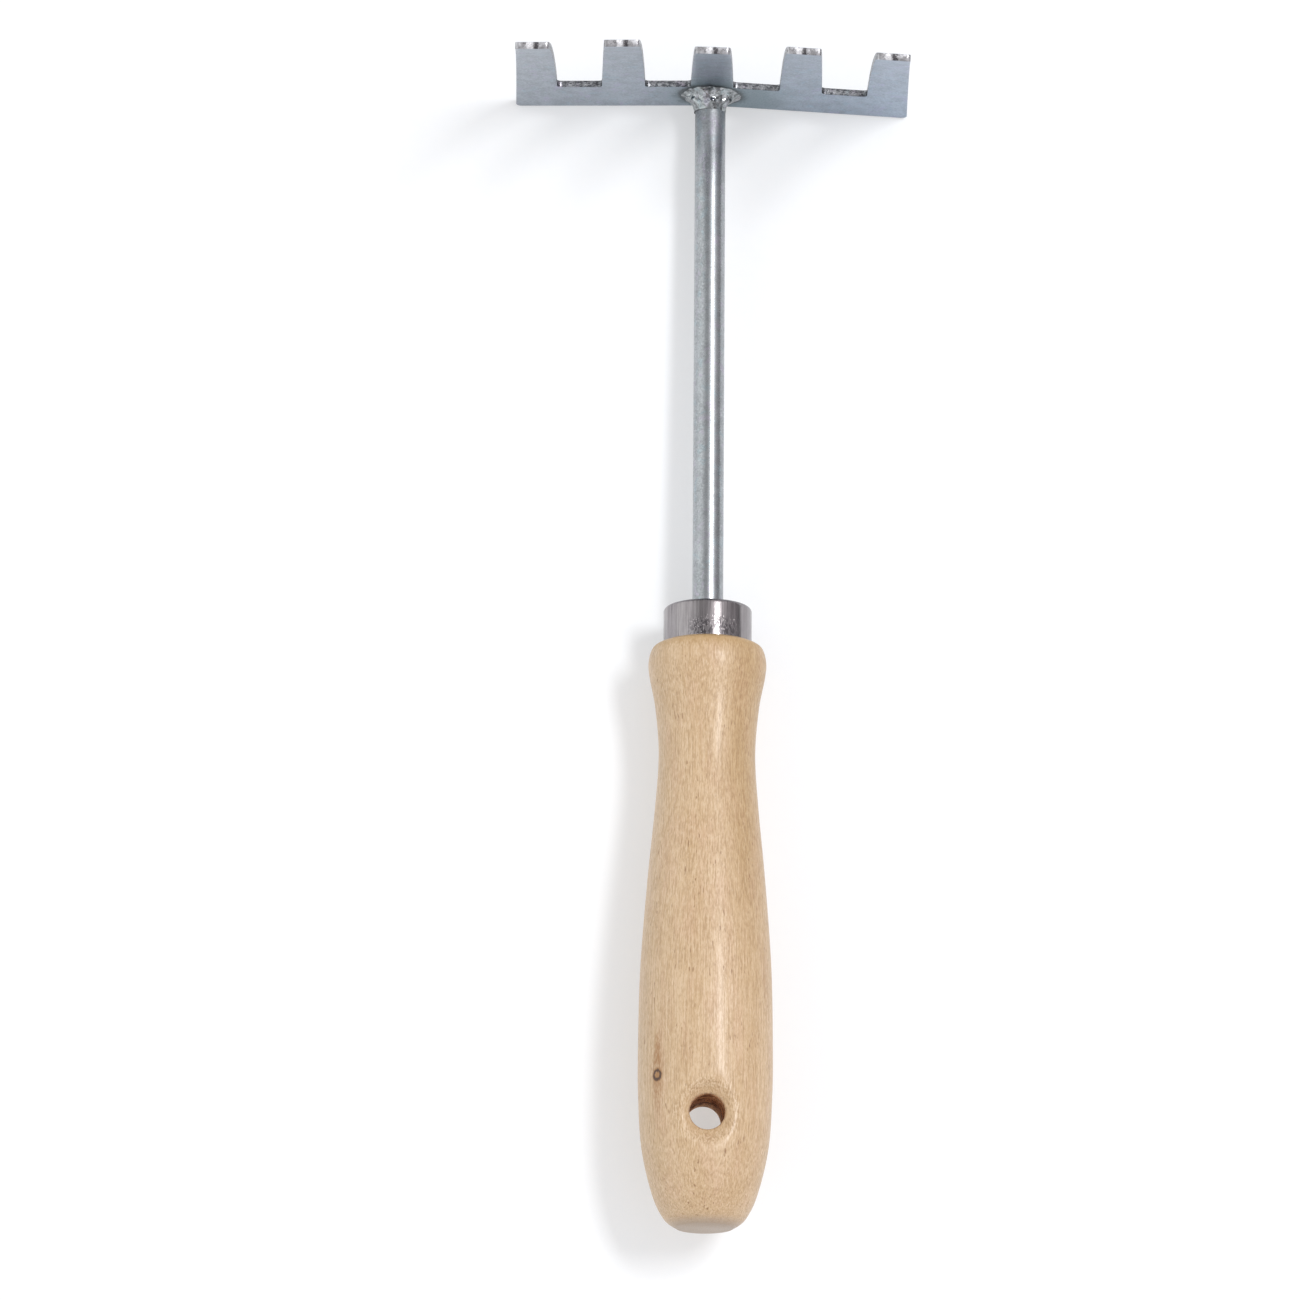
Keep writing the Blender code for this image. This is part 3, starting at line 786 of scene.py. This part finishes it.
def add_head(face, cut_face):
    """The plate head: five teeth, bowed, with sheared edges."""
    blank = bmesh.new()
    blank.from_mesh(head_blank())
    bmesh.ops.remove_doubles(blank, verts=blank.verts, dist=0.01 * MM)
    for place, normal in head_cuts():
        everything = [*blank.verts, *blank.edges, *blank.faces]
        bmesh.ops.bisect_plane(blank, geom=everything, dist=0.001 * MM, plane_co=place, plane_no=normal)
    for each in blank.faces:
        each.material_index = 1 if abs(each.normal.z) < 0.5 else 0
    for vert in blank.verts:
        vert.co = formed(vert.co)
    bmesh.ops.recalc_face_normals(blank, faces=blank.faces)
    mesh = bpy.data.meshes.new("rake_head_fine")
    blank.to_mesh(mesh)
    blank.free()
    piece = new_piece("rake_head_fine", mesh, HEAD @ ON_HEAD, face, "rake_head")
    mesh.materials.append(cut_face)
    finish_piece(piece)


# ---------------------------------------------------------------- stage

def add_floor():
    """A pale matt floor that glows a little, which keeps the shadow light."""
    bpy.ops.mesh.primitive_plane_add(size=8.0, location=(0.0, 0.0, -FLOOR_DROP))
    floor = bpy.context.object
    floor.name = "floor"
    net = Net("pale_floor")
    paper = net.noise((3.0, 3.0, 3.0), rough=0.6)
    net.set(Base_Color=net.blend(net.fit(paper, 0.3, 0.7), FLOOR_PALE, FLOOR_MID))
    net.set(Roughness=0.85, Specular_IOR_Level=0.2)
    net.set(Emission_Color=(1.0, 1.0, 1.0), Emission_Strength=FLOOR_GLOW)
    floor.data.materials.append(net.material)


def add_card():
    """A low dark card beside the tool that only the bright metal sees, as a dark band on its right."""
    bpy.ops.mesh.primitive_plane_add(size=1.0, location=CARD_PLACE, rotation=(0.0, pi / 2, 0.0))
    card = bpy.context.object
    card.name = "dark_card"
    card.scale = (CARD_HEIGHT, 1.0, 1.0)
    card.visible_camera = False
    card.visible_diffuse = False
    card.visible_shadow = False
    net = Net("dark_card")
    net.set(Base_Color=CARD_GREY, Roughness=0.9)
    card.data.materials.append(net.material)


def add_key_light():
    """A soft light high on the right, past the head, that faces the tool."""
    light = bpy.data.lights.new("key", "AREA")
    light.shape = "RECTANGLE"
    light.size, light.size_y = KEY_SIZE
    light.energy = KEY_POWER
    lamp = bpy.data.objects.new("key", light)
    bpy.context.scene.collection.objects.link(lamp)
    lamp.location = KEY_TARGET + KEY_WAY * KEY_DISTANCE
    lamp.rotation_euler = KEY_WAY.to_track_quat("Z", "Y").to_euler()


def set_world():
    """The studio round the tool: dim overhead, a pale wall on the left, a dark gap low on the right."""
    world = bpy.data.worlds.new("studio")
    bpy.context.scene.world = world
    world.use_nodes = True
    nodes = world.node_tree.nodes
    links = world.node_tree.links
    where = nodes.new("ShaderNodeTexCoord")
    split = nodes.new("ShaderNodeSeparateXYZ")
    links.new(where.outputs["Generated"], split.inputs[0])
    spread = nodes.new("ShaderNodeMapRange")
    spread.inputs["From Min"].default_value = -1.0
    links.new(split.outputs["X"], spread.inputs["Value"])
    ramp = nodes.new("ShaderNodeValToRGB")
    links.new(spread.outputs["Result"], ramp.inputs["Fac"])
    levels = ramp.color_ramp.elements
    while len(levels) < len(STUDIO):
        levels.new(0.5)
    for level, (spot, bright) in zip(levels, STUDIO):
        blue = bright / 2          # the ramp's colours stay below 1, so the strength below is doubled
        red = blue * (1.0 - STUDIO_RED_LOSS * (1.0 - spot))
        green = blue * (1.0 - STUDIO_GREEN_LOSS * spot)
        level.position = spot
        level.color = (red, green, blue, 1.0)
    fade = nodes.new("ShaderNodeMapRange")
    fade.inputs["From Min"].default_value = -1.0
    fade.inputs["To Min"].default_value = 2.0 * FILL * (1.0 + FILL_LEAN)
    fade.inputs["To Max"].default_value = 2.0 * FILL * (1.0 - FILL_LEAN)
    links.new(split.outputs["Y"], fade.inputs["Value"])
    back = nodes["Background"]
    links.new(ramp.outputs["Color"], back.inputs["Color"])
    links.new(fade.outputs["Result"], back.inputs["Strength"])


def add_camera():
    """Looks almost straight down through a long lens, leaning a little to the handle's end."""
    lens = bpy.data.cameras.new("camera")
    lens.sensor_width = 36.0
    lens.lens = LENS
    camera = bpy.data.objects.new("camera", lens)
    bpy.context.scene.collection.objects.link(camera)
    bpy.context.scene.camera = camera
    aim = (Matrix.Translation(CAMERA_TARGET) @ Matrix.Rotation(CAMERA_TILT, 4, "X")
           @ Matrix.Rotation(CAMERA_ROLL, 4, "Z"))
    camera.matrix_world = aim @ Matrix.Translation((0.0, 0.0, CAMERA_DISTANCE))


set_world()
add_floor()
add_card()
add_camera()
add_key_light()
add_handle(wood_material(), drilled_material())
add_shaft(rod_material())
add_ferrule(ferrule_material())
add_head(plate_material(), edge_material())
add_weld(weld_material())
bpy.context.scene.view_settings.view_transform = "Standard"
